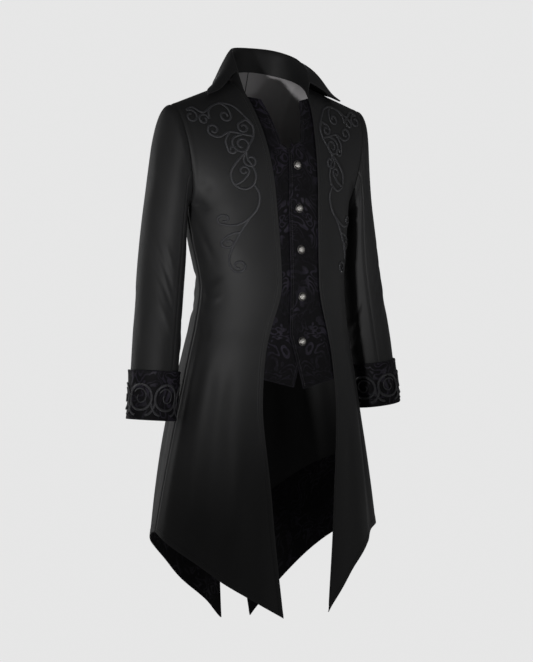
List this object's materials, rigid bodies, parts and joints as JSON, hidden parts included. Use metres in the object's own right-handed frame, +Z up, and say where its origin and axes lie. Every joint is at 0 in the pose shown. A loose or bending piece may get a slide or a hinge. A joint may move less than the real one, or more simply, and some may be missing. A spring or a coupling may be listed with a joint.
{
  "type": "long tailcoat with a sewn-in waistcoat",
  "caption": "Long black tailcoat with pointed tails, turned-down collar, scrollwork cords, wide cuffs and a buttoned waistcoat front, filled out as if worn.",
  "frame": {"origin": "midway between the shoulders at the height of the sleeve heads, where the wearer's shoulders carry the coat", "axes": "+Z up, the front faces -Y, +X to the wearer's left"},
  "size_m": [0.6364, 0.3087, 1.1522],
  "materials": {
    "coat_cloth": "black cotton sateen with a soft sheen",
    "jacquard": "black jacquard with a faint violet scroll figure",
    "lining_cloth": "smooth dark grey lining satin",
    "cord": "black silky cord, couched in scrolls",
    "antique_silver": "antique silver, worn bright on the high parts"
  },
  "bodies": {
    "root": {"coat_front_right": "coat_cloth", "coat_front_left": "coat_cloth", "coat_back_right": "coat_cloth", "coat_back_left": "coat_cloth", "sleeve_upper_right": "coat_cloth", "sleeve_upper_left": "coat_cloth", "sleeve_under_right": "coat_cloth", "sleeve_under_left": "coat_cloth", "collar": "coat_cloth", "cuff_right": "jacquard", "cuff_left": "jacquard", "waistcoat_front_right": "jacquard", "waistcoat_front_left": "jacquard", "tail_facing_right": "jacquard", "tail_facing_left": "jacquard", "back_lining_right": "lining_cloth", "back_lining_left": "lining_cloth", "scrollwork_right": "cord", "scrollwork_left": "cord", "cuff_scrollwork_right": "cord", "cuff_scrollwork_left": "cord", "button_1": "antique_silver", "button_2": "antique_silver", "button_3": "antique_silver", "button_4": "antique_silver", "button_5": "antique_silver"}
  },
  "joints": []
}
